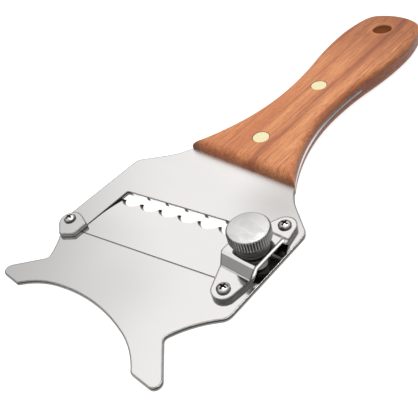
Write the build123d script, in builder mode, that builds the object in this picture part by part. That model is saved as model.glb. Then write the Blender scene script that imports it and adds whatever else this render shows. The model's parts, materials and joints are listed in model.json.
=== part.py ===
"""Adjustable hand slicer for cheese and truffles.

A polished steel plate with two horns carries a wooden handle on its tang.  A
scalloped blade closes most of a slanted window in the plate.  It hinges on two
short pins along its rear edge, and a knurled knob above a bridge lifts it on a
stud against a spring, which sets how thick the slices are.

Millimetres.  +Y points from the horns to the handle's end and +Z out of the side
that carries the knob.  The origin is the middle of the outline, level with the
handle's underside.
"""
from math import acos, atan, cos, degrees, hypot, pi, radians, sin, sqrt, tan
import os

from build123d import *

# Plate and handle, with y counted from close to the plate's shoulders
HALF_WIDTH = 39.7
HORN_END = -64.5
FRONT_MIDDLE = (0, -54.9)
FRONT_R = 60.0
FRONT_TURN = 16.5
HORN_R = 27.3
HORN_TIP = (41.5, HORN_END)
HORN_ROOT = (28.44, -51.5)
HORN_BULGE = (32.3, -44.7)
FRONT_CORNER = (HALF_WIDTH, -37.0)
HORN_INNER_R = 1.2
HORN_ROOT_R = 1.8
HORN_TIP_R = 2.3
FRONT_CORNER_R = 4.5
SHOULDER_R = 4.5
HANDLE_FRONT = 16.1
TANG_END = 76.0
HANDLE_THICKNESS = 10.0
HANDLE_EDGE_R = 3.6
WAIST = (11.95, 59.0)
BELLY = (16.15, 105.0)
NECK_ARCS = ((82.5, 33.5), (25.0, 17.3))
SHEET = 1.5
EDGE_R = 0.2

swell = 2 * degrees(atan((BELLY[0] - WAIST[0]) / (BELLY[1] - WAIST[1])))
swell_r = (BELLY[1] - WAIST[1]) / sin(radians(swell)) / 2
SWELL_ARCS = ((swell_r, -swell), (swell_r, swell))


def close_end(arcs):
    """The arcs from the belly on, with the one that ends on the centre line added."""
    x, y = BELLY
    turn = 0.0
    for radius, size in arcs:
        x -= radius * (cos(radians(turn)) - cos(radians(turn + size)))
        y += radius * (sin(radians(turn + size)) - sin(radians(turn)))
        turn += size
    last_r = x / cos(radians(turn))
    return (*arcs, (last_r, 90 - turn)), y + last_r * (1 - sin(radians(turn)))


END_ARCS, HANDLE_END = close_end(((55.0, 17.0), (9.0, 50.0)))
SHOULDER_Y = -(HORN_END + HANDLE_END) / 2

# Heights
PLATE_BOTTOM = (HANDLE_THICKNESS - SHEET) / 2
PLATE_TOP = PLATE_BOTTOM + SHEET
BRACKET_TOP = PLATE_TOP + SHEET

# Window and blade.  Both slant by the same angle across the plate
BLADE_ANGLE = 10.0
BLADE_REAR_Y = -32.1
BLADE_LEFT = -28.6
BLADE_RIGHT = 35.2
BLADE_DEPTH = 20.2
BLADE_SHEET = 1.2
BLADE_DROP = (SHEET - BLADE_SHEET) / 2
BLADE_FLAT = 5.0
BLADE_CURVE_R = 130.0
WINDOW_GAP = 0.25
WINDOW_FAR_Y = -9.9
WINDOW_FAR_ANGLE = 8.9
WINDOW_CORNER_R = 0.6

# Scallops: round gullets ground through the blade at a slope
SCALLOP_PITCH = 8.3
SCALLOP_COUNT = 7
SCALLOP_R = 4.15
SCALLOP_CENTRE = BLADE_DEPTH + 1.42
GRIND = 1.0
GULLET_REACH = 2.0

# Hinge pins of the blade
PIN_R = 0.4
PIN_CLEARANCE = 0.02
PIN_OUT = 1.2
PIN_IN = 3.0
PIN_END_GAP = 0.2
PIN_BACK = 1.0
PIN_Z = PLATE_TOP - SHEET / 2

# Bridge over the blade's end
KNOB_X = 31.4
KNOB_Y = -14.7
BRIDGE_RISE = 5.0
BRIDGE_TOP = PLATE_TOP + BRIDGE_RISE
BRIDGE_HALF_SPAN = 6.7
BRIDGE_FOOT = 9.3
BRIDGE_HALF_WIDTH = 6.55
BRIDGE_REACH = 25.0
BEND_R = 1.6
BEND_INNER_R = 0.6
BRIDGE_SCREWS = {"front": (32.7, -30.3), "rear": (32.8, -1.1)}
EAR_R = 3.9

# Clamp over the blade's other end
CLAMP_SCREW = (-35.5, -36.1)
CLAMP_ARC = ((-34.2, -32.3), (-38.9, -35.2), (-37.6, -39.7))
CLAMP_INNER = ((-28.1, -34.2), (-28.1, -40.3))
CLAMP_FRONT = (-32.7, -43.2)
SHEET_CHAMFER = 0.2

# Screws M2.5 and adjusting screw M3
SCREW_R = 1.25
SCREW_HEAD_R = 2.15
SCREW_HEAD = 1.4
SCREW_RIM = 0.45
SCREW_HOLE_R = 1.35
RECESS_LENGTH = 2.4
RECESS_WIDTH = 0.6
RECESS_DEPTH = 0.9
STUD_R = 1.48
THREAD_R = 1.5
THREAD_PITCH = 0.5
STUD_TOP = PLATE_TOP + 9.5
FLATS = 2.4
SLIDE_CLEARANCE = 0.05
BALL_R = 2.0
BALL_Z = PLATE_TOP - 1.2
BALL_CLEARANCE = 0.25
HEAD_CYLINDER = 0.35
FLATS_BOTTOM = PLATE_TOP + 1.0
FLATS_TOP = BRIDGE_TOP + 1.4
STUD_CHAMFER = 0.3

# Knob, its washer and the spring
WASHER_R = 5.4
WASHER = 1.5
KNOB_R = 6.75
KNOB_BASE_R = 5.8
KNOB_BOTTOM = BRIDGE_TOP + WASHER
KNOB_BASE = 1.5
KNOB_HEIGHT = 5.4
KNOB_CHAMFER = 0.4
KNOB_DOME = 0.5
KNURL_COUNT = 48
KNURL_DEPTH = 0.35
THREAD_DEPTH = 4.0
WIRE_R = 0.3
SPRING_R = 3.4
SPRING_TURNS = 2.5
SPRING_LIFT = 1.1
SPRING_GAP = 0.05

# Rivets and hanging hole on the handle's centre line
RIVET_Y = {"front": 29.1, "rear": 66.1}
RIVET_HEAD_R = 3.15
RIVET_HEAD = 1.6
RIVET_SEAT_R = 3.25
RIVET_RECESS = 0.05
SLEEVE_R = 2.3
SHANK_R = 1.6
SHANK_GAP = 0.3
RIVET_CHAMFER = 0.15
HOLE_Y = 114.0
HOLE_R = 3.9
HOLE_EDGE = 0.4

LEVER = ((KNOB_Y - BLADE_REAR_Y) * cos(radians(BLADE_ANGLE))
         - KNOB_X * sin(radians(BLADE_ANGLE)) - PIN_BACK)


def level(z, x=0.0, y=0.0):
    """Horizontal plane at height z, with y counted as in the values above."""
    return Plane((x, SHOULDER_Y + y, z))


def blade_plane(z):
    """Horizontal plane whose x runs along the blade's rear edge."""
    turn = radians(BLADE_ANGLE)
    return Plane((0, SHOULDER_Y + BLADE_REAR_Y, z), x_dir=(cos(turn), sin(turn), 0))


def along_blade(x, back):
    """Distance along the rear edge to the point at x that lies back from it."""
    turn = radians(BLADE_ANGLE)
    return (x + back * sin(turn)) / cos(turn)


def corners(sketch, x, y):
    """The sketch's corners at (x, y) and at its mirror image."""
    return [v for v in sketch.vertices() if hypot(abs(v.X) - x, v.Y - y) < 0.05]


def side_curve():
    """Neck, waist, belly and end of the right-hand side, as tangent arcs."""
    start = WAIST
    heading = -90.0
    for radius, size in NECK_ARCS:
        arc = JernArc(start, Vector(1, 0).rotate(Axis.Z, heading), radius, size)
        start = arc @ 1
        heading += size
    shoulder = (HALF_WIDTH, start.Y + (HALF_WIDTH - start.X) * tan(radians(heading)))
    Line(start, shoulder)
    Line(shoulder, FRONT_CORNER)
    start = WAIST
    heading = 90.0
    for radius, size in (*SWELL_ARCS, *END_ARCS):
        arc = JernArc(start, Vector(1, 0).rotate(Axis.Z, heading), radius, size)
        start = arc @ 1
        heading += size


def outline_line():
    """Outline of plate and handle together, both sides."""
    front = JernArc(FRONT_MIDDLE, (1, 0), FRONT_R, -FRONT_TURN)
    drop = (front @ 1).Y - HORN_END
    horn_turn = degrees(acos(cos(radians(FRONT_TURN)) - drop / HORN_R)) - FRONT_TURN
    inner = JernArc(front @ 1, front % 1, HORN_R, -horn_turn)
    Line(inner @ 1, HORN_TIP)
    Line(HORN_TIP, HORN_ROOT)
    ThreePointArc(HORN_ROOT, HORN_BULGE, FRONT_CORNER)
    side_curve()
    mirror(about=Plane.YZ)


def screw(x, y):
    """Pan-head screw with a cross recess, its shank flush under the plate."""
    with BuildPart() as part:
        with BuildSketch(Plane((x, SHOULDER_Y + y, BRACKET_TOP), x_dir=(1, 0, 0),
                               z_dir=(0, -1, 0))):
            with BuildLine():
                Polyline((SCREW_HEAD_R, SCREW_RIM), (SCREW_HEAD_R, 0), (SCREW_R, 0),
                         (SCREW_R, PLATE_BOTTOM - BRACKET_TOP),
                         (0, PLATE_BOTTOM - BRACKET_TOP), (0, SCREW_HEAD))
                dome = SCREW_HEAD - SCREW_RIM
                RadiusArc((0, SCREW_HEAD), (SCREW_HEAD_R, SCREW_RIM),
                          (SCREW_HEAD_R ** 2 + dome ** 2) / (2 * dome))
            make_face()
        revolve(axis=Axis((x, SHOULDER_Y + y, 0), (0, 0, 1)))
        with BuildSketch(level(BRACKET_TOP + SCREW_HEAD, x, y)):
            Rectangle(RECESS_LENGTH, RECESS_WIDTH)
            Rectangle(RECESS_WIDTH, RECESS_LENGTH)
        extrude(amount=-RECESS_DEPTH, mode=Mode.SUBTRACT)
    return part.part


os.makedirs("parts", exist_ok=True)

# Body plate: horns, window and tang, cut from one sheet
with BuildPart() as body_plate:
    with BuildSketch(level(PLATE_BOTTOM)) as plan:
        with BuildLine():
            outline_line()
        make_face()
        with Locations((0, TANG_END)):
            Rectangle(4 * HALF_WIDTH, HANDLE_END, align=(Align.CENTER, Align.MIN),
                      mode=Mode.SUBTRACT)
        fillet(corners(plan, *HORN_TIP), HORN_TIP_R)
        fillet([v for v in plan.vertices() if abs(v.Y - HORN_END) < 0.01
                and abs(v.X) < HORN_TIP[0] - 3 * HORN_TIP_R], HORN_INNER_R)
        fillet(corners(plan, *HORN_ROOT), HORN_ROOT_R)
        fillet(corners(plan, *FRONT_CORNER), FRONT_CORNER_R)
        fillet([v for v in plan.vertices() if abs(abs(v.X) - HALF_WIDTH) < 0.01
                and v.Y > FRONT_CORNER[1] / 2], SHOULDER_R)
    extrude(amount=SHEET)
    fillet(body_plate.faces().filter_by(Axis.Z).edges(), EDGE_R)
    # Window: its left and right ends are square to the handle
    with BuildSketch(level(PLATE_BOTTOM)) as window:
        with BuildLine():
            left = BLADE_LEFT - WINDOW_GAP
            right = BLADE_RIGHT + WINDOW_GAP
            rear = tan(radians(BLADE_ANGLE))
            far = tan(radians(WINDOW_FAR_ANGLE))
            rear_y = BLADE_REAR_Y - WINDOW_GAP
            Polyline((left, rear_y + left * rear), (right, rear_y + right * rear),
                     (right, WINDOW_FAR_Y + right * far),
                     (left, WINDOW_FAR_Y + left * far), close=True)
        make_face()
        fillet(window.vertices(), WINDOW_CORNER_R)
    extrude(amount=SHEET, mode=Mode.SUBTRACT)
    # Grooves, open on top, that hold the ends of the hinge pins
    groove_r = PIN_R + PIN_CLEARANCE
    for end, outward in ((left, -1), (right, 1)):
        start = along_blade(end, PIN_BACK)
        length = 2 * PIN_OUT + 3 * PIN_END_GAP
        spot = Location((start + outward * PIN_END_GAP / 2, PIN_BACK, 0))
        with Locations(blade_plane(PIN_Z).location * spot):
            Box(length, 2 * groove_r, SHEET,
                align=(Align.CENTER, Align.CENTER, Align.MIN), mode=Mode.SUBTRACT)
            Cylinder(groove_r, length, rotation=(0, 90, 0), mode=Mode.SUBTRACT)
    with Locations(*[(x, SHOULDER_Y + y, PLATE_BOTTOM)
                     for x, y in (*BRIDGE_SCREWS.values(), CLAMP_SCREW)]):
        Cylinder(SCREW_R, 3 * SHEET, mode=Mode.SUBTRACT)
    with Locations(*[(0, SHOULDER_Y + y, PLATE_BOTTOM) for y in RIVET_Y.values()]):
        Cylinder(SLEEVE_R, 3 * SHEET, mode=Mode.SUBTRACT)

# Handle: one piece of wood, sawn open at the front for the tang
with BuildPart() as handle:
    with BuildSketch(level(0)) as grip:
        with BuildLine():
            outline_line()
        make_face()
        with Locations((0, HANDLE_FRONT)):
            Rectangle(4 * HALF_WIDTH, 2 * HANDLE_END, align=(Align.CENTER, Align.MIN),
                      mode=Mode.INTERSECT)
    extrude(amount=HANDLE_THICKNESS)
    fillet(handle.faces().filter_by(Axis.Z).edges(), HANDLE_EDGE_R)
    with BuildSketch(level(PLATE_BOTTOM)):
        with Locations((0, TANG_END)):
            Rectangle(2 * HALF_WIDTH, HANDLE_END, align=(Align.CENTER, Align.MAX))
    extrude(amount=SHEET, mode=Mode.SUBTRACT)
    seat_depth = RIVET_HEAD + RIVET_RECESS
    with Locations(*[(0, SHOULDER_Y + y, HANDLE_THICKNESS) for y in RIVET_Y.values()]):
        CounterBoreHole(SLEEVE_R, RIVET_SEAT_R, seat_depth, HANDLE_THICKNESS)
    with Locations(*[(0, SHOULDER_Y + y, seat_depth / 2) for y in RIVET_Y.values()]):
        Cylinder(RIVET_SEAT_R, seat_depth, mode=Mode.SUBTRACT)
    with Locations((0, SHOULDER_Y + HOLE_Y, HANDLE_THICKNESS)):
        Hole(HOLE_R, HANDLE_THICKNESS)
    hole_rims = [e for e in handle.edges().filter_by(GeomType.CIRCLE)
                 if abs(e.radius - HOLE_R) < 0.01]
    chamfer(hole_rims, HOLE_EDGE)

# Rivets: each is a flanged sleeve and a flanged pin pressed into it
rivets = {}
head_top = HANDLE_THICKNESS - RIVET_RECESS
for place, y in RIVET_Y.items():
    with BuildPart() as sleeve:
        with BuildSketch(level(RIVET_RECESS, y=y)):
            Circle(RIVET_HEAD_R)
        extrude(amount=RIVET_HEAD)
        with BuildSketch(level(RIVET_RECESS + RIVET_HEAD, y=y)):
            Circle(SLEEVE_R)
            Circle(SHANK_R, mode=Mode.SUBTRACT)
        extrude(amount=head_top - 2 * RIVET_HEAD - RIVET_RECESS)
        chamfer(sleeve.edges().group_by(Axis.Z)[0], RIVET_CHAMFER)
    with BuildPart() as pin:
        with BuildSketch(level(head_top, y=y)):
            Circle(RIVET_HEAD_R)
        extrude(amount=-RIVET_HEAD)
        with BuildSketch(level(head_top - RIVET_HEAD, y=y)):
            Circle(SHANK_R)
        extrude(amount=-(head_top - 2 * RIVET_HEAD - RIVET_RECESS - SHANK_GAP))
        chamfer(pin.edges().group_by(Axis.Z)[-1], RIVET_CHAMFER)
    rivets[f"{place}_rivet_sleeve"] = sleeve.part
    rivets[f"{place}_rivet_pin"] = pin.part

# Blade: a sheet that dips towards its scalloped edge
blade_top = PLATE_TOP - BLADE_DROP
stud_spot = (KNOB_X, SHOULDER_Y + KNOB_Y)
with BuildPart() as blade:
    section = Plane(blade_plane(blade_top).origin, x_dir=blade_plane(0).y_dir,
                    z_dir=blade_plane(0).x_dir)
    under_r = BLADE_CURVE_R - BLADE_SHEET

    def dip(distance, radius):
        """Height of the curved surface of that radius, so far from the rear edge."""
        return sqrt(radius ** 2 - (distance - BLADE_FLAT) ** 2) - BLADE_CURVE_R

    upper_front = BLADE_DEPTH - GRIND
    with BuildSketch(section):
        with BuildLine():
            Line((0, -BLADE_SHEET), (0, 0))
            Line((0, 0), (BLADE_FLAT, 0))
            RadiusArc((BLADE_FLAT, 0), (upper_front, dip(upper_front, BLADE_CURVE_R)),
                      BLADE_CURVE_R)
            Line((upper_front, dip(upper_front, BLADE_CURVE_R)),
                 (BLADE_DEPTH, dip(BLADE_DEPTH, under_r)))
            RadiusArc((BLADE_DEPTH, dip(BLADE_DEPTH, under_r)),
                      (BLADE_FLAT, -BLADE_SHEET), -under_r)
            Line((BLADE_FLAT, -BLADE_SHEET), (0, -BLADE_SHEET))
        make_face()
    extrude(amount=2 * HALF_WIDTH, both=True)
    with BuildSketch(level(0)) as ends:
        with Locations((BLADE_LEFT, 0)):
            Rectangle(BLADE_RIGHT - BLADE_LEFT, 4 * HALF_WIDTH,
                      align=(Align.MIN, Align.CENTER))
    extrude(amount=2 * PLATE_TOP, mode=Mode.INTERSECT)
    # Gullets, wider at the top, so that each leaves a sloping ground face
    slope = 0.75 * GRIND / BLADE_SHEET
    gullet_z = dip(BLADE_DEPTH, under_r)
    first_tip = along_blade(BLADE_LEFT, SCALLOP_CENTRE)
    for i in range(SCALLOP_COUNT):
        spot = Location((first_tip + (i + 0.5) * SCALLOP_PITCH, SCALLOP_CENTRE, gullet_z))
        with Locations(blade_plane(blade_top).location * spot):
            Cone(SCALLOP_R - GULLET_REACH * slope, SCALLOP_R + GULLET_REACH * slope,
                 2 * GULLET_REACH, mode=Mode.SUBTRACT)
    # Seat of the stud's ball head, open below
    with Locations((*stud_spot, BALL_Z)):
        Sphere(BALL_R + BALL_CLEARANCE, mode=Mode.SUBTRACT)
        Cylinder(BALL_R + BALL_CLEARANCE, SHEET,
                 align=(Align.CENTER, Align.CENTER, Align.MAX), mode=Mode.SUBTRACT)
    for end in (BLADE_LEFT, BLADE_RIGHT):
        start = along_blade(end, PIN_BACK)
        with Locations(blade_plane(PIN_Z).location * Location((start, PIN_BACK, 0))):
            Cylinder(PIN_R, 2 * PIN_IN, rotation=(0, 90, 0), mode=Mode.SUBTRACT)

# Hinge pins, pressed into the blade's ends
pins = {}
for side, end, inward in (("left", BLADE_LEFT, 1), ("right", BLADE_RIGHT, -1)):
    start = along_blade(end, PIN_BACK)
    inner = start + inward * PIN_IN
    outer = start - inward * (WINDOW_GAP + PIN_OUT)
    with BuildPart() as hinge_pin:
        with Locations(blade_plane(PIN_Z).location
                       * Location(((inner + outer) / 2, PIN_BACK, 0))):
            Cylinder(PIN_R, abs(inner - outer), rotation=(0, 90, 0))
    pins[f"blade_pin_{side}"] = hinge_pin.part

# Clamp over the left hinge pin
with BuildPart() as left_clamp:
    with BuildSketch(level(PLATE_TOP)) as clamp_plan:
        with BuildLine():
            Polyline(CLAMP_ARC[0], (-32.0, -32.8), *CLAMP_INNER, CLAMP_FRONT, CLAMP_ARC[2])
            ThreePointArc(*CLAMP_ARC)
        make_face()
        fillet(corners(clamp_plan, -CLAMP_FRONT[0], CLAMP_FRONT[1]), 1.2)
        for x, y in CLAMP_INNER:
            fillet(corners(clamp_plan, -x, y), 0.7)
        with Locations(CLAMP_SCREW):
            Circle(SCREW_HOLE_R, mode=Mode.SUBTRACT)
    extrude(amount=SHEET)
    chamfer(left_clamp.faces().sort_by(Axis.Z)[-1].outer_wire().edges(), SHEET_CHAMFER)

# Bridge: a sheet bent up over the blade's right end, with an ear at each foot
with BuildPart() as bridge:
    with BuildSketch(Plane((KNOB_X, SHOULDER_Y + KNOB_Y, PLATE_TOP), x_dir=(0, 1, 0),
                           z_dir=(1, 0, 0))) as hat:
        slant = (BRIDGE_FOOT - BRIDGE_HALF_SPAN) / (BRIDGE_RISE - SHEET)
        inset = SHEET * (sqrt(1 + slant ** 2) - slant)
        with BuildLine():
            outer_foot = (BRIDGE_FOOT, SHEET)
            outer_top = (BRIDGE_HALF_SPAN, BRIDGE_RISE)
            inner_top = (BRIDGE_HALF_SPAN - inset, BRIDGE_RISE - SHEET)
            inner_foot = (BRIDGE_FOOT - inset, 0)
            Polyline((0, BRIDGE_RISE), outer_top, outer_foot, (BRIDGE_REACH, SHEET),
                     (BRIDGE_REACH, 0), inner_foot, inner_top, (0, BRIDGE_RISE - SHEET))
            mirror(about=Plane.YZ)
        make_face()
        for x, y in (outer_top, inner_foot):
            fillet(corners(hat, x, y), BEND_R)
        for x, y in (outer_foot, inner_top):
            fillet(corners(hat, x, y), BEND_INNER_R)
    extrude(amount=2 * BRIDGE_HALF_WIDTH, both=True)
    with BuildSketch(level(PLATE_TOP)) as ears:
        for spot in BRIDGE_SCREWS.values():
            with BuildSketch(mode=Mode.PRIVATE) as ear:
                with Locations((KNOB_X, KNOB_Y)):
                    Rectangle(2 * BRIDGE_HALF_WIDTH, 2 * BRIDGE_HALF_SPAN)
                with Locations(spot):
                    Circle(EAR_R)
                make_hull()
            add(ear.sketch)
        with Locations(*BRIDGE_SCREWS.values()):
            Circle(SCREW_HOLE_R, mode=Mode.SUBTRACT)
    extrude(amount=BRIDGE_RISE, mode=Mode.INTERSECT)
    # Hole with two flats, which keeps the stud from turning
    with BuildSketch(level(BRIDGE_TOP, KNOB_X, KNOB_Y)):
        Circle(THREAD_R + SLIDE_CLEARANCE)
        Rectangle(4 * THREAD_R, FLATS + 2 * SLIDE_CLEARANCE, mode=Mode.INTERSECT)
    extrude(amount=-SHEET, mode=Mode.SUBTRACT)

screws = {"left_clamp_screw": screw(*CLAMP_SCREW)}
for place, spot in BRIDGE_SCREWS.items():
    screws[f"bridge_screw_{place}"] = screw(*spot)

# Lift stud: ball head under the blade, two flats, thread into the knob
with BuildPart() as lift_stud:
    with Locations((*stud_spot, BALL_Z)):
        Sphere(BALL_R)
    with Locations((*stud_spot, BALL_Z)):
        Box(4 * BALL_R, 4 * BALL_R, BALL_R, align=(Align.CENTER, Align.CENTER, Align.MAX),
            mode=Mode.SUBTRACT)
    with BuildSketch(level(BALL_Z, KNOB_X, KNOB_Y)):
        Circle(BALL_R)
    extrude(amount=-HEAD_CYLINDER)
    with BuildSketch(level(BALL_Z, KNOB_X, KNOB_Y)):
        Circle(STUD_R)
    extrude(amount=STUD_TOP - BALL_Z)
    chamfer(lift_stud.edges().group_by(Axis.Z)[-1], STUD_CHAMFER)
    with Locations(*[(stud_spot[0], stud_spot[1] + side * FLATS, FLATS_BOTTOM)
                     for side in (-1, 1)]):
        Box(4 * STUD_R, FLATS, FLATS_TOP - FLATS_BOTTOM,
            align=(Align.CENTER, Align.CENTER, Align.MIN), mode=Mode.SUBTRACT)

# Washer between the bridge and the knob
with BuildPart() as knob_washer:
    with BuildSketch(level(BRIDGE_TOP, KNOB_X, KNOB_Y)):
        Circle(WASHER_R)
        Circle(THREAD_R + 2 * SLIDE_CLEARANCE, mode=Mode.SUBTRACT)
    extrude(amount=WASHER)
    chamfer(knob_washer.edges().filter_by(GeomType.CIRCLE)
            .filter_by(lambda e: abs(e.radius - WASHER_R) < 0.01), SHEET_CHAMFER)

# Knob: knurled nut with a blind thread
with BuildPart() as knob:
    with BuildSketch(Plane((KNOB_X, SHOULDER_Y + KNOB_Y, KNOB_BOTTOM), x_dir=(1, 0, 0),
                           z_dir=(0, -1, 0))):
        rim = (KNOB_R - KNOB_CHAMFER, KNOB_HEIGHT)
        top = (0, KNOB_HEIGHT + KNOB_DOME)
        with BuildLine():
            Polyline(top, (0, 0), (KNOB_BASE_R, 0), (KNOB_BASE_R, KNOB_BASE),
                     (KNOB_R, KNOB_BASE + KNOB_CHAMFER), (KNOB_R, KNOB_HEIGHT - KNOB_CHAMFER),
                     rim)
            RadiusArc(top, rim, (rim[0] ** 2 + KNOB_DOME ** 2) / (2 * KNOB_DOME))
        make_face()
    revolve(axis=Axis((*stud_spot, 0), (0, 0, 1)))
    with BuildSketch(level(KNOB_BOTTOM + KNOB_BASE, KNOB_X, KNOB_Y)):
        with PolarLocations(KNOB_R, KNURL_COUNT):
            RegularPolygon(KNURL_DEPTH, 4)
    extrude(amount=KNOB_HEIGHT, mode=Mode.SUBTRACT)
    with BuildSketch(level(KNOB_BOTTOM, KNOB_X, KNOB_Y)):
        Circle(THREAD_R)
    extrude(amount=THREAD_DEPTH, mode=Mode.SUBTRACT)

# Spring around the stud, between the blade and the bridge
spring_low = PLATE_TOP + SPRING_LIFT
spring_high = BRIDGE_TOP - SHEET - WIRE_R - SPRING_GAP
with BuildPart() as spring:
    with BuildLine(level(spring_low, KNOB_X, KNOB_Y)) as coil:
        Helix((spring_high - spring_low) / SPRING_TURNS, spring_high - spring_low, SPRING_R)
    with BuildSketch(Plane(coil.line @ 0, z_dir=coil.line % 0)):
        Circle(WIRE_R)
    sweep()

# Hand over every piece under its name
named = {"body_plate": body_plate.part, "handle": handle.part, "blade": blade.part,
         "left_clamp": left_clamp.part, "bridge": bridge.part, "knob": knob.part,
         "knob_washer": knob_washer.part, "lift_stud": lift_stud.part,
         "spring": spring.part}
for name, piece in {**named, **rivets, **pins, **screws}.items():
    piece.label = name
    export_step(piece, f"parts/{name}.step")
print("stud lift per knob radian", round(THREAD_PITCH / (2 * pi), 6), "mm, blade tilt",
      round(THREAD_PITCH / (2 * pi) / LEVER, 6), "rad")
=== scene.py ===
import json
from math import radians

import bpy
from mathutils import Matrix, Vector


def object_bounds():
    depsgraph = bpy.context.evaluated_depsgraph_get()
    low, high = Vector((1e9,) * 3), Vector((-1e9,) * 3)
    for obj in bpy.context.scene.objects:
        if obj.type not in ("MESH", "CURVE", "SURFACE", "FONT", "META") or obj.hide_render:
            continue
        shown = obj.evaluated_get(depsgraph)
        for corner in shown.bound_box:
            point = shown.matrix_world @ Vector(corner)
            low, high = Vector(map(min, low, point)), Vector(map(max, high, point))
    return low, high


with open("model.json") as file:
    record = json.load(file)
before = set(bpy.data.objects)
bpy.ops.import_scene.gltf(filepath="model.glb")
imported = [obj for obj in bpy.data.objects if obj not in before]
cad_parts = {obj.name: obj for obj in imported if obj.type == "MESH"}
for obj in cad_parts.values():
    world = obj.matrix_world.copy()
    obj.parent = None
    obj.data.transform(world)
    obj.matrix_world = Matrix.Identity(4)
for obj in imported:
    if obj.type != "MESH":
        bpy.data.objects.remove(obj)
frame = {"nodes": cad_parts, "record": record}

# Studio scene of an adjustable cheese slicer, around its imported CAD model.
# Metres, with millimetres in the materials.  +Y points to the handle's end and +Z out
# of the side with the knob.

MM = 0.001
CAD_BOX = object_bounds()
RECORD = frame["record"]


def record_place(group, name):
    """Where one of the record's mounts or joints is, in millimetres."""
    found = next(entry for entry in group if entry["name"] == name)
    return [value / MM for value in found["pos_m"]]


# Camera: where it stands, how it is turned, and its lens on a 36 mm sensor
CAMERA_PLACE = (0.12161, -0.12503, 0.13261)
CAMERA_TURN = (48.506, 12.522, 42.252)
CAMERA_LENS = 49.594
CAMERA_SENSOR = 36.0
CAMERA_CLIP = 0.005

# Sky: bright above, dimmer near the horizon, with a soft dark card on the left
SKY_COLOUR = (1.0, 0.995, 0.985, 1)
SKY_LIGHT = 1.0
SKY_START = 0.5
HORIZON_LIGHT = 0.3
HORIZON_END = 0.18
CARD_SIDE = (-0.93, -0.1, 0.35)
CARD_LIGHT = 0.55
CARD_RIM = 0.78
CARD_MIDDLE = 0.95

# Softbox above, and the floor just under the CAD's box
SOFTBOX_PLACE = (0.1, 0.3, 1.3)
SOFTBOX_SIZE = 0.9
SOFTBOX_POWER = 12.0
FLOOR_COLOUR = (0.35, 0.35, 0.35, 1)
FLOOR_GLOW = 0.82
FLOOR_SIZE = 6.0
FLOOR_GAP = 0.00005

# Colours
WHITE = (1, 1, 1, 1)
STEEL = (0.87, 0.855, 0.85, 1)
# Cut edges: dull sheared steel, darkened further as a painted dark reflection
SHEARED_STEEL_DARK_REFLECTION = (0.24, 0.235, 0.23, 1)
# Painted shade along the upper rim of the plate's cut edges and at the foot of the clamp's
RIM_PAINTED_SHADE = (0.02, 0.019, 0.018, 1)
# Dull cut steel of the bridge's ears, darkened as a painted dark reflection
EAR_CUT_DARK_REFLECTION = (0.09, 0.087, 0.085, 1)
# Painted reflection of the wood, dark red, on the blade's ground scallop faces
GROUND_FACE_WOOD_REFLECTION = (0.03, 0.008, 0.006, 1)
# Painted shade for dim patches on the sheet and on the knob's far side
SHADED_PATCH_STEEL = (0.60, 0.585, 0.575, 1)
TURNED_STEEL = (0.80, 0.79, 0.78, 1)
# Painted shade: dark steel for painted edge lines, scallop marks, the bridge's underside,
# and the shaded flanks and hollows of the screws and knob
PAINTED_SHADE_STEEL = (0.05, 0.048, 0.046, 1)
SPRING_STEEL = (0.60, 0.58, 0.56, 1)
BRASS = (0.97, 0.90, 0.60, 1)
WIPED_BRASS = (0.90, 0.80, 0.47, 1)
WOOD_LIGHT = (0.66, 0.285, 0.115, 1)
WOOD_MIDDLE = (0.52, 0.185, 0.072, 1)
WOOD_DARK = (0.25, 0.068, 0.032, 1)
WOOD_PORE = (0.10, 0.025, 0.012, 1)
# Painted shade that multiplies the wood's colour on its sides and towards its end
WOOD_PAINTED_SHADE = (0.33, 0.205, 0.05, 1)

# Edges: how far from an edge its painted shade line reaches and its shading is rounded, in
# metres, and how well the rounded and the flat normal agree across the painted shade line
SHEET_LINE = 0.0008
KNOB_LINE = 0.0005
FINE_LINE = 0.0002
SOFT_EDGE = 0.00015
LINE_BEND = (0.98, 0.9998)

# How far up a sheet's cut edges face, from wholly cut to not at all
CUT_FACING = (0.25, 0.75)

# Body plate, in mm: where the tang's edge is left bright, without the painted dark
# reflection and shade line of cut edges, and where it dims again; the window's rear wall,
# also without that painted dark reflection, with the height where its painted shade line
# ends; the painted shade on the cut edge's upper rim; and the stretch that turns satin
# towards the handle
TANG_START_Y = (-18.0, -14.0)
TANG_END_Y = (2.0, 26.0)
WINDOW_X = (-26.0, 36.5)
WINDOW_Y = (-50.0, -30.0)
WALL_FOOT_Z = (4.9, 5.3)
RIM_SHADE_Z = (5.15, 5.75)
SATIN_Y = (-38.0, -12.0)
SHEET_ROUGH = 0.04

# Painted shade marks on the window's rear wall, in mm: where one of them is, their
# spacing, and the reach of each to either side
MARK_X = -10.8
MARK_PITCH = 8.33
MARK_REACH = (0.5, 0.9)

# Patches of painted shade on the sheet: middle and radius in mm, and strength
SHADED_PATCHES = (((26.0, -22.0, 5.75), 24.0, 1.0), ((6.0, -76.0, 5.75), 22.0, 0.25))

# Blade: its slant, and the depth across the slant where its cut faces take a painted
# dark-red reflection of the wood, in mm
BLADE_SLANT = radians(10.0)
BLADE_GROUND_DEPTH = (-60.0, -56.0)

# Heights in mm over which the bridge's cut edge turns from its dull ears, darkened as a
# painted dark reflection, to bright, and over which painted shade darkens the screws'
# recesses
EAR_TOP_Z = (7.2, 7.8)
RECESS_Z = (7.75, 7.85)

# Knob, in mm: its middle seen from above, the far side of its top, dimmed by painted
# shade, and how far out the bottoms and the tops of its knurl are
KNOB_MIDDLE = (*record_place(RECORD["behaviour"]["joints"], "knob_turn")[:2], 0.0)
KNOB_SHADE_SIDE = (26.4, -41.7, 18.0)
KNOB_SHADE_RADIUS = 11.0
KNURL_REACH = (6.45, 6.7)

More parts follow.
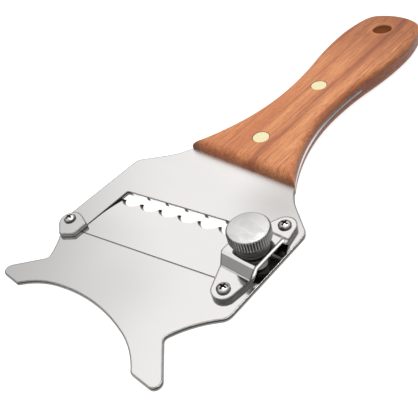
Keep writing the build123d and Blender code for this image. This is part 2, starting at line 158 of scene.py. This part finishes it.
# Wood, in mm: the dark lengthwise streak, the end grain at the front, the dark corner,
# the hanging hole, and the stretch over which painted shade darkens the handle's end
STREAK_X = (6.2, 7.6)
STREAK_BLUR = 1.3
END_GRAIN_Y = (-15.5, -12.5)
FRONT_Y = (-15.0, -11.0)
FRONT_TIP = (-25.0, -16.5, 6.0)
HOLE_MIDDLE = record_place(RECORD["mounts"], "hang_hole")
CORNER_RADIUS = 9.0
END_SHADE_Y = (35.0, 90.0)


# --- Node helpers ---------------------------------------------------------------

def node(tree, kind, settings=None, **inputs):
    """A new shader node, with its settings and its inputs by name."""
    made = tree.nodes.new("ShaderNode" + kind)
    for key, value in (settings or {}).items():
        setattr(made, key, value)
    for key, value in inputs.items():
        plug(tree, made.inputs[key], value)
    return made


def plug(tree, socket, value):
    """Links value to the socket, or sets it when it is plain."""
    if isinstance(value, bpy.types.NodeSocket):
        tree.links.new(value, socket)
    else:
        socket.default_value = value


def fill(tree, made, values, result=0):
    """Fills a node's first inputs in order and returns one of its outputs."""
    for socket, value in zip(made.inputs, values):
        plug(tree, socket, value)
    return made.outputs[result]


def maths(tree, operation, *values):
    """The result of a Math node."""
    return fill(tree, node(tree, "Math", {"operation": operation}), values)


def times(tree, first, second):
    """Two values multiplied."""
    return maths(tree, "MULTIPLY", first, second)


def opposite(tree, value):
    """1 where value is 0, and 0 where it is 1."""
    return maths(tree, "SUBTRACT", 1.0, value)


def vector(tree, operation, first, second, result="Vector"):
    """The result of a Vector Math node."""
    made = node(tree, "VectorMath", {"operation": operation})
    return fill(tree, made, (first, second), result)


def mix(tree, factor, first, second, blend="MIX"):
    """Colour between first and second, or first blended with second."""
    made = node(tree, "MixRGB", {"blend_type": blend})
    return fill(tree, made, (factor, first, second))


def span(tree, value, low, high, to_low=0.0, to_high=1.0):
    """value moved smoothly from the range low..high to to_low..to_high."""
    made = node(tree, "MapRange", {"interpolation_type": "SMOOTHSTEP"}, Value=value)
    for key, number in (("From Min", low), ("From Max", high),
                        ("To Min", to_low), ("To Max", to_high)):
        plug(tree, made.inputs[key], number)
    return made.outputs["Result"]


def within(tree, value, low, high, blur):
    """1 from low to high, and 0 beyond them by more than the blur."""
    return times(tree, span(tree, value, low - blur, low),
                 span(tree, value, high, high + blur, 1.0, 0.0))


def noise(tree, place, scale, detail=3.0, rough=0.5, distortion=0.0):
    """Noise about a place in millimetres, stretched by scale along each axis."""
    made = node(tree, "TexNoise", Vector=vector(tree, "MULTIPLY", place, scale),
                Scale=1.0, Detail=detail, Roughness=rough, Distortion=distortion)
    return made.outputs["Fac"]


def patch(tree, place, middle, radius):
    """Soft round patch about a middle in millimetres."""
    reach = vector(tree, "DISTANCE", place, middle, "Value")
    return span(tree, reach, 0.0, radius, 1.0, 0.0)


def millimetres(tree):
    """The place on the piece, in millimetres."""
    place = node(tree, "TexCoord").outputs["Object"]
    return vector(tree, "MULTIPLY", place, (1 / MM, 1 / MM, 1 / MM))


def split(tree, place):
    """The X, Y and Z of a place."""
    parts = node(tree, "SeparateXYZ", Vector=place).outputs
    return parts["X"], parts["Y"], parts["Z"]


def facing(tree):
    """How far the piece's own surface faces up, from -1 to 1."""
    return split(tree, node(tree, "TexCoord").outputs["Normal"])[2]


def cut_faces(tree, low, high):
    """1 on faces that face up or down less than low, and 0 above high."""
    return span(tree, maths(tree, "ABSOLUTE", facing(tree)), low, high, 1.0, 0.0)


def rounded(tree, radius):
    """Normal that rounds every sharp edge off by the radius in metres."""
    return node(tree, "Bevel", {"samples": 6}, Radius=radius).outputs["Normal"]


def edge_shade_line(tree, radius, strength):
    """Painted shade: a dark line along both sides of every edge."""
    flat = node(tree, "NewGeometry").outputs["Normal"]
    bend = vector(tree, "DOT_PRODUCT", rounded(tree, radius), flat, "Value")
    return span(tree, bend, *LINE_BEND, strength, 0.0)


def bump(tree, height, strength, distance):
    """Normal that shows height, which is 0 to 1 over the distance in metres."""
    made = node(tree, "Bump", Height=height, Strength=strength, Distance=distance)
    return made.outputs["Normal"]


def soft_bump(tree, height, strength, distance):
    """The same on a piece whose sharp edges are rounded."""
    wavy = bump(tree, height, strength, distance)
    plug(tree, wavy.node.inputs["Normal"], rounded(tree, SOFT_EDGE))
    return wavy


# --- Materials --------------------------------------------------------------------

def new_material(name):
    """A material, its node tree and its surface shader."""
    made = bpy.data.materials.new(name)
    made.use_nodes = True
    return made, made.node_tree, made.node_tree.nodes["Principled BSDF"]


def new_metal(name, finish):
    """Metal whose colour, roughness and normal are what finish builds."""
    made, tree, surface = new_material(name)
    tone, rough, normal = finish(tree, millimetres(tree))
    plug(tree, surface.inputs["Metallic"], 1.0)
    plug(tree, surface.inputs["Base Color"], tone)
    plug(tree, surface.inputs["Roughness"], rough)
    if normal:
        plug(tree, surface.inputs["Normal"], normal)
    return made


def dimmed(tone, share):
    """A share of a colour."""
    return [share * value for value in tone[:3]] + [1]


def smears(tree, place):
    """Broad wiping marks across the sheet."""
    return noise(tree, place, (0.03, 0.12, 0.1), detail=5.0, rough=0.6, distortion=0.6)


def scallop_shade_marks(tree, across):
    """Painted shade: short dark marks across the sheet, one for each scallop of the blade.
    """
    counted = maths(tree, "SUBTRACT", across, MARK_X)
    reach = maths(tree, "PINGPONG", counted, MARK_PITCH / 2)
    return span(tree, reach, *MARK_REACH, 1.0, 0.0)


def sheet_steel(tree, place):
    """Polished sheet, satin towards the handle, whose cut edges carry a painted dark
    reflection and painted shade lines, left off on the tang and the window's rear wall.
    """
    across, along, height = split(tree, place)
    # Where the tang's cut edge is left bright, without painted dark reflection and shade
    # line
    tang = maths(tree, "SUBTRACT", span(tree, along, *TANG_START_Y, 0.0, 0.75),
                 span(tree, along, *TANG_END_Y, 0.0, 0.6))
    wall = times(tree, within(tree, across, *WINDOW_X, 1.0),
                 within(tree, along, *WINDOW_Y, 3.0))
    edge = cut_faces(tree, *CUT_FACING)
    # Painted shade marks on the window's rear wall, one for each scallop
    marks = times(tree, times(tree, wall, edge), scallop_shade_marks(tree, across))
    edge = times(tree, edge, opposite(tree, maths(tree, "MAXIMUM", tang, wall)))
    foot = times(tree, wall, span(tree, height, *WALL_FOOT_Z, 1.0, 0.0))
    # Painted shade lines along every edge, left off on the tang and at the window wall's
    # foot
    line = times(tree, edge_shade_line(tree, SHEET_LINE, 0.95),
                 opposite(tree, maths(tree, "MAXIMUM", tang, foot)))
    wiped = smears(tree, place)
    tone = mix(tree, wiped, STEEL, dimmed(STEEL, 0.96))
    # Painted shade: dim patches on the sheet
    for middle, radius, strength in SHADED_PATCHES:
        tone = mix(tree, times(tree, patch(tree, place, middle, radius), strength),
                   tone, SHADED_PATCH_STEEL)
    rim = within(tree, height, *RIM_SHADE_Z, 0.25)
    # Cut edges: dull sheared steel with a painted dark reflection, and painted shade on
    # their upper rim
    tone = mix(tree, edge, tone, mix(tree, rim, SHEARED_STEEL_DARK_REFLECTION, RIM_PAINTED_SHADE))
    tone = mix(tree, maths(tree, "MAXIMUM", line, marks), tone, PAINTED_SHADE_STEEL)
    scratches = noise(tree, place, (9.0, 0.6, 3.0), detail=2.0)
    rough = maths(tree, "MULTIPLY_ADD", wiped, 0.10, SHEET_ROUGH)
    rough = maths(tree, "MULTIPLY_ADD", scratches, 0.05, rough)
    rough = maths(tree, "ADD", rough, span(tree, along, *SATIN_Y, 0.0, 0.25))
    rough = maths(tree, "MULTIPLY_ADD", edge, 0.15, rough)
    waves = noise(tree, place, (0.05, 0.05, 0.05), detail=1.0)
    return tone, rough, soft_bump(tree, waves, 0.25, 0.00002)


def blade_steel(tree, place):
    """Polished blade with brushing along its length, a painted reflection of the wood on
    its ground scallops, and painted shade lines along their edges.
    """
    slanted = node(tree, "VectorRotate", {"rotation_type": "Z_AXIS"}, Vector=place,
                   Angle=-BLADE_SLANT).outputs["Vector"]
    cutting = span(tree, split(tree, slanted)[1], *BLADE_GROUND_DEPTH)
    # Painted reflection of the wood on the ground scallops' cut faces
    ground = times(tree, cut_faces(tree, 0.8, 0.97), cutting)
    # Painted shade lines along the scallops' edges
    line = times(tree, edge_shade_line(tree, FINE_LINE, 0.6), cutting)
    tone = mix(tree, smears(tree, place), STEEL, dimmed(STEEL, 0.96))
    tone = mix(tree, ground, tone, GROUND_FACE_WOOD_REFLECTION)
    tone = mix(tree, line, tone, PAINTED_SHADE_STEEL)
    brushing = noise(tree, slanted, (0.3, 8.0, 3.0))
    rough = span(tree, brushing, 0.3, 0.7, 0.07, 0.16)
    return tone, rough, bump(tree, brushing, 0.1, 0.00001)


def bridge_steel(tree, place):
    """Bent sheet, bright outside, with a painted dark reflection on its ears' cut edges,
    painted shade lines along its edges and painted shade on its underside.
    """
    # Painted shade on the faces that look down, under the bridge
    inside = span(tree, facing(tree), -0.3, -0.05, 0.9, 0.0)
    cut = times(tree, span(tree, facing(tree), *CUT_FACING, 1.0, 0.0),
                span(tree, split(tree, place)[2], *EAR_TOP_Z, 1.0, 0.0))
    grain = noise(tree, place, (0.5, 6.0, 2.0))
    tone = mix(tree, grain, STEEL, dimmed(STEEL, 0.94))
    tone = mix(tree, cut, tone, EAR_CUT_DARK_REFLECTION)
    tone = mix(tree, edge_shade_line(tree, SHEET_LINE, 0.95), tone, PAINTED_SHADE_STEEL)
    tone = mix(tree, inside, tone, PAINTED_SHADE_STEEL)
    rough = span(tree, grain, 0.3, 0.7, 0.06, 0.16)
    return tone, rough, soft_bump(tree, grain, 0.2, 0.00001)


def turned_steel(tree, place, line, painted_shade):
    """Turned and polished steel, with painted shade lines along its edges and painted
    shade given as a mask.
    """
    cloud = noise(tree, place, (0.18, 0.34, 0.2), detail=2.0, distortion=0.8)
    tone = mix(tree, span(tree, cloud, 0.35, 0.65), TURNED_STEEL,
               dimmed(TURNED_STEEL, 0.85))
    # Painted shade dims the far side of the knob's top
    dim = patch(tree, place, KNOB_SHADE_SIDE, KNOB_SHADE_RADIUS)
    tone = mix(tree, times(tree, dim, 0.9), tone, SHADED_PATCH_STEEL)
    tone = mix(tree, edge_shade_line(tree, line, 0.9), tone, PAINTED_SHADE_STEEL)
    tone = mix(tree, painted_shade, tone, PAINTED_SHADE_STEEL)
    grain = noise(tree, place, (3.0, 3.0, 3.0), detail=4.0)
    rough = span(tree, grain, 0.3, 0.7, 0.14, 0.24)
    return tone, rough, soft_bump(tree, grain, 0.15, 0.00001)


def screw_steel(tree, place):
    """Turned steel with painted shade on the screws' rims and low in their recesses."""
    rim = span(tree, facing(tree), 0.66, 0.94, 1.0, 0.0)
    recess = span(tree, split(tree, place)[2], *RECESS_Z, 1.0, 0.0)
    return turned_steel(tree, place, FINE_LINE, maths(tree, "MAXIMUM", rim, recess))


def knob_steel(tree, place):
    """Turned steel with painted shade in the knurl and below it."""
    flat = vector(tree, "MULTIPLY", place, (1.0, 1.0, 0.0))
    reach = vector(tree, "DISTANCE", flat, KNOB_MIDDLE, "Value")
    # Painted shade: darker in the knurl's grooves and on faces that do not look up
    groove = span(tree, reach, *KNURL_REACH, 1.0, 0.55)
    side = span(tree, facing(tree), 0.5, 0.9, 1.0, 0.0)
    return turned_steel(tree, place, KNOB_LINE, times(tree, groove, side))


def spring_wire(tree, place):
    """Drawn wire."""
    grain = noise(tree, place, (4.0, 4.0, 4.0))
    return SPRING_STEEL, span(tree, grain, 0.3, 0.7, 0.25, 0.4), None


def rivet_brass(tree, place):
    """Pale polished brass with fine wiping marks."""
    marks = noise(tree, place, (6.0, 0.8, 2.0))
    rough = span(tree, marks, 0.3, 0.7, 0.12, 0.3)
    return mix(tree, marks, BRASS, WIPED_BRASS), rough, bump(tree, marks, 0.2, 0.00001)


def wood_grain(tree, place, fibres, pore):
    """Colour of the wood: broad figure, streaks, fibres and short dark pores."""
    across, along, _ = split(tree, place)
    broad = noise(tree, place, (0.16, 0.012, 0.16), rough=0.55, distortion=0.5)
    streaks = noise(tree, place, (0.9, 0.02, 0.9), detail=4.0, rough=0.6)
    lines = noise(tree, place, (2.2, 0.03, 1.2), rough=0.6)
    wander = noise(tree, place, (0.0, 0.05, 0.0), detail=2.0)
    course = maths(tree, "MULTIPLY_ADD", wander, 3.0, across)
    band = times(tree, within(tree, course, *STREAK_X, STREAK_BLUR),
                 span(tree, streaks, 0.3, 0.6, 0.3, 0.75))
    ends = times(tree, span(tree, along, *END_GRAIN_Y, 0.45, 0.0),
                 span(tree, noise(tree, place, (3.5, 0.1, 0.1)), 0.48, 0.66))
    tone = mix(tree, span(tree, broad, 0.32, 0.62), WOOD_LIGHT, WOOD_MIDDLE)
    for darker in (span(tree, streaks, 0.48, 0.76, 0.0, 0.7),
                   span(tree, lines, 0.50, 0.68, 0.0, 0.45),
                   band,
                   ends,
                   span(tree, fibres, 0.35, 0.72, 0.0, 0.58)):
        tone = mix(tree, darker, tone, WOOD_DARK)
    return mix(tree, pore, tone, WOOD_PORE)


def oiled_wood():
    """Orange-brown oiled wood with painted shade on its sides and towards its end, darker
    at one front corner.
    """
    made, tree, surface = new_material("oiled_rosewood")
    place = millimetres(tree)
    along = split(tree, place)[1]
    fibres = noise(tree, place, (7.0, 0.18, 2.5), detail=2.0)
    pores = noise(tree, place, (5.0, 0.42, 3.0), detail=1.0)
    pore = span(tree, pores, 0.66, 0.74, 0.0, 0.75)
    bore = patch(tree, place, HOLE_MIDDLE, CORNER_RADIUS)
    tip = patch(tree, place, FRONT_TIP, CORNER_RADIUS)
    tone = mix(tree, bore, wood_grain(tree, place, fibres, pore), WOOD_LIGHT)
    tone = mix(tree, times(tree, tip, 0.9), tone, WOOD_PORE)
    # Painted shade on the sides, halved at the front, and towards the handle's end; taken
    # off in the hanging hole
    side = times(tree, span(tree, facing(tree), 0.1, 0.95, 1.0, 0.05),
                 span(tree, along, *FRONT_Y, 0.5, 1.0))
    shade = maths(tree, "MAXIMUM", side, span(tree, along, *END_SHADE_Y, 0.0, 0.55))
    shade = maths(tree, "SUBTRACT", shade, times(tree, bore, 0.9))
    tone = mix(tree, 1.0, tone, mix(tree, shade, WHITE, WOOD_PAINTED_SHADE), "MULTIPLY")
    plug(tree, surface.inputs["Base Color"], tone)
    plug(tree, surface.inputs["Roughness"], span(tree, fibres, 0.3, 0.7, 0.36, 0.52))
    plug(tree, surface.inputs["Specular IOR Level"], 0.3)
    plug(tree, surface.inputs["Coat Weight"], 0.06)
    plug(tree, surface.inputs["Coat Roughness"], 0.3)
    height = maths(tree, "MULTIPLY_ADD", pore, -1.0, fibres)
    plug(tree, surface.inputs["Normal"], bump(tree, height, 0.35, 0.00004))
    return made


def floor_paint():
    """Plain pale floor that glows as white as the reference's background."""
    made, tree, surface = new_material("studio_floor")
    plug(tree, surface.inputs["Base Color"], FLOOR_COLOUR)
    plug(tree, surface.inputs["Roughness"], 0.9)
    plug(tree, surface.inputs["Specular IOR Level"], 0.0)
    plug(tree, surface.inputs["Emission Color"], WHITE)
    plug(tree, surface.inputs["Emission Strength"], FLOOR_GLOW)
    return made


# --- Studio -----------------------------------------------------------------------

def place_camera():
    """Camera at the reference view."""
    data = bpy.data.cameras.new("camera")
    data.sensor_width = CAMERA_SENSOR
    data.lens = CAMERA_LENS
    data.clip_start = CAMERA_CLIP
    camera = bpy.data.objects.new("camera", data)
    camera.location = CAMERA_PLACE
    camera.rotation_euler = [radians(turn) for turn in CAMERA_TURN]
    bpy.context.scene.collection.objects.link(camera)
    bpy.context.scene.camera = camera


def light_sky():
    """Even sky that dims near the horizon, with a soft dark card."""
    world = bpy.data.worlds.new("studio")
    world.use_nodes = True
    tree = world.node_tree
    aim = node(tree, "TexCoord").outputs["Generated"]
    light = span(tree, split(tree, aim)[2], HORIZON_END, SKY_START, HORIZON_LIGHT,
                 SKY_LIGHT)
    towards_card = vector(tree, "DOT_PRODUCT", aim, CARD_SIDE, "Value")
    card = span(tree, towards_card, CARD_RIM, CARD_MIDDLE, 1.0, CARD_LIGHT)
    sky = tree.nodes["Background"]
    plug(tree, sky.inputs["Strength"], times(tree, light, card))
    plug(tree, sky.inputs["Color"], SKY_COLOUR)
    bpy.context.scene.world = world


def add_softbox():
    """Square area light above, which looks at the slicer's middle."""
    data = bpy.data.lights.new("top_softbox", "AREA")
    data.size = SOFTBOX_SIZE
    data.energy = SOFTBOX_POWER
    lamp = bpy.data.objects.new("top_softbox", data)
    lamp.location = SOFTBOX_PLACE
    lamp.rotation_euler = (-Vector(SOFTBOX_PLACE)).to_track_quat("-Z", "Y").to_euler()
    bpy.context.scene.collection.objects.link(lamp)


def lay_floor():
    """Floor under the handle's flat lower face."""
    height = CAD_BOX[0][2] - FLOOR_GAP
    bpy.ops.mesh.primitive_plane_add(size=FLOOR_SIZE, location=(0, 0, height))
    floor = bpy.context.active_object
    floor.name = "studio_floor"
    floor.data.materials.append(floor_paint())


def dress(by_slot, by_node):
    """Gives every CAD node its own material, or else that of its slot."""
    for part in RECORD["subparts"]:
        wanted = by_node.get(part["node"], by_slot[part["material_slot"]])
        for slot in frame["nodes"][part["node"]].material_slots:
            slot.material = wanted


place_camera()
light_sky()
lay_floor()
add_softbox()
dress({"polished_steel": new_metal("polished_sheet_steel", sheet_steel),
       "blade_steel": new_metal("ground_blade_steel", blade_steel),
       "hardware_steel": new_metal("screw_steel", screw_steel),
       "spring_steel": new_metal("spring_wire", spring_wire),
       "brass": new_metal("rivet_brass", rivet_brass),
       "rosewood": oiled_wood()},
      {"bridge": new_metal("bent_sheet_steel", bridge_steel),
       "knob": new_metal("knurled_steel", knob_steel)})
bpy.context.scene.view_settings.view_transform = "Standard"
